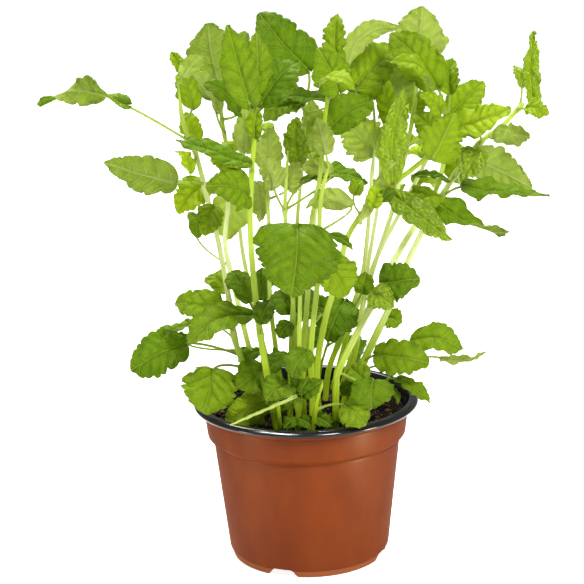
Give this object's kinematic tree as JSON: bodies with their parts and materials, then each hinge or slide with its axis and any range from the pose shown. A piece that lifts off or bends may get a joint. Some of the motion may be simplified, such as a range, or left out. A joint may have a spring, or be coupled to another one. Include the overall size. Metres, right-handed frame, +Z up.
{
  "type": "potted mint plant",
  "caption": "Potted mint plant with toothed leaves on upright stems, growing from dark soil in a round stepped plastic nursery pot with a wide rolled rim.",
  "frame": {"origin": "centre of the pot's base, on the surface that it stands on", "axes": "+Z up along the pot's axis; +X to the right and -Y towards the viewer when the plant is seen from its front"},
  "size_m": [0.2867, 0.2074, 0.3136],
  "materials": {
    "pot_terracotta": "satin vacuum-formed polystyrene sheet, terracotta colour outside",
    "pot_black": "glossy black inner side of the same sheet, which also shows on the rim",
    "potting_soil": "damp peat and plant fibre, rough",
    "leaf_green": "soft hairy leaf with raised veins, light shines through it",
    "stem_green": "pale juicy square stem, slightly glossy"
  },
  "bodies": {
    "root": {"pot": "pot_terracotta", "soil": "potting_soil", "leafy_stem_west": "leaf_green", "leafy_stem_west_back": "leaf_green", "leafy_stem_west_front": "leaf_green", "leafy_stem_mid_a": "leaf_green", "leafy_stem_mid_b": "leaf_green", "leafy_stem_mid_c": "leaf_green", "leafy_stem_mid_d": "leaf_green", "leafy_stem_mid_e": "leaf_green", "leafy_stem_front": "leaf_green", "leafy_stem_east_a": "leaf_green", "leafy_stem_east_b": "leaf_green", "leafy_stem_east_c": "leaf_green", "leafy_stem_east_d": "leaf_green", "leafy_stem_east_e": "leaf_green", "leafy_stem_east_f": "leaf_green", "leafy_stem_back_west": "leaf_green", "leafy_stem_back_mid": "leaf_green", "leafy_stem_back_east": "leaf_green", "leafy_stem_low_west": "leaf_green", "leafy_stem_low_front": "leaf_green", "leafy_stem_low_mid": "leaf_green", "leafy_stem_low_east": "leaf_green", "leafy_stem_low_far_east": "leaf_green", "leafy_stem_low_back": "leaf_green"}
  },
  "joints": []
}
